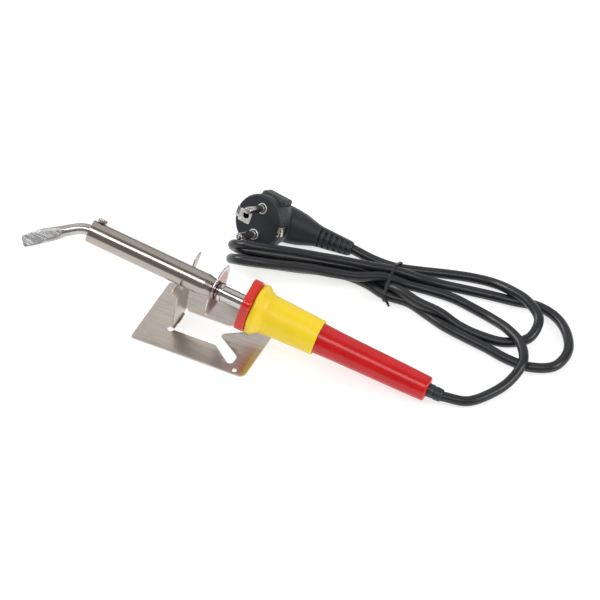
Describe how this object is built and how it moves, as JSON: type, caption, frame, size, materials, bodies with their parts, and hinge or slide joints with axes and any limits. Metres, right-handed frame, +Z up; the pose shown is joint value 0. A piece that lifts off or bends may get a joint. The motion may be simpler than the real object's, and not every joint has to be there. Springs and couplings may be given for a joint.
{
  "type": "soldering iron with stand",
  "caption": "Electric soldering iron with a bent chisel bit lying in the forked rest of a folded sheet-steel stand, with a bundled mains lead and a right-angle earthed plug.",
  "frame": {"origin": "on the table, at the centre of the footprint of the stand and the iron without the free lead", "axes": "+X along the stand from the bit towards the handle, +Y towards the bundled lead, +Z up"},
  "size_m": [0.3523, 0.1524, 0.0679],
  "materials": {
    "stand_steel": "satin rolled steel sheet with fine grain",
    "bit_tinned": "plated copper, hatched and dull on the blade",
    "screw_steel": "plated steel",
    "barrel_steel": "polished stainless",
    "bush_brass": "turned",
    "inner_steel": "drawn tube",
    "mica": "layered mica",
    "resistance_wire": "oxidised",
    "ceramic": "unglazed",
    "neck_steel": "polished",
    "disc_chrome": "mirror",
    "red_translucent": "translucent gloss",
    "yellow_grip": "satin soft-touch",
    "red_handle": "high gloss",
    "terminal_brass": "turned",
    "lead_glass_sleeve": "glass-fibre sleeve",
    "core_brown": "insulated core",
    "core_blue": "insulated core",
    "core_green": "insulated core",
    "cord_black": "satin",
    "boot_black": "moulded",
    "tie_black": "coated wire",
    "plug_black": "fine moulded grain",
    "pin_nickel": "nickel plated"
  },
  "bodies": {
    "stand": {"stand_plate": "stand_steel", "power_cord": "cord_black", "twist_tie": "tie_black", "plug_body": "plug_black", "plug_pin_lower": "pin_nickel", "plug_pin_upper": "pin_nickel", "earth_socket": "pin_nickel", "earth_clip_left": "pin_nickel", "earth_clip_right": "pin_nickel"},
    "iron": {"barrel": "barrel_steel", "front_bush": "bush_brass", "bit_socket_tube": "inner_steel", "mica_inner": "mica", "heater_winding": "resistance_wire", "mica_outer": "mica", "ceramic_spacer": "ceramic", "neck_tube": "neck_steel", "heat_shield_disc": "disc_chrome", "shield_collar": "neck_steel", "hex_flange": "red_translucent", "grip_sleeve": "yellow_grip", "handle_shell": "red_handle", "terminal_block": "ceramic", "terminal_screw_1": "terminal_brass", "terminal_screw_2": "terminal_brass", "terminal_screw_3": "terminal_brass", "element_lead_live": "lead_glass_sleeve", "element_lead_neutral": "lead_glass_sleeve", "earth_bond_lead": "lead_glass_sleeve", "core_live": "core_brown", "core_neutral": "core_blue", "core_earth": "core_green", "cord_tail": "cord_black", "cord_crimp": "inner_steel", "cord_boot": "boot_black"},
    "bit": {"bit": "bit_tinned"},
    "bit_screw": {"bit_screw": "screw_steel"}
  },
  "joints": [
    {"name": "iron_lift", "type": "slide", "parent": "stand", "child": "iron", "axis": [0, 0, 1], "range_m": [0, 0.04]},
    {"name": "bit_slide", "type": "slide", "parent": "iron", "child": "bit", "axis": [-0.9761, -0.058, 0.2096], "range_m": [0, 0.045]},
    {"name": "bit_screw_turn", "type": "hinge", "parent": "iron", "child": "bit_screw", "pos_m": [-0.09976, 0.00242, 0.06379], "axis": [0.0891, 0.7727, 0.6285], "range_deg": [0, 720]}
  ]
}
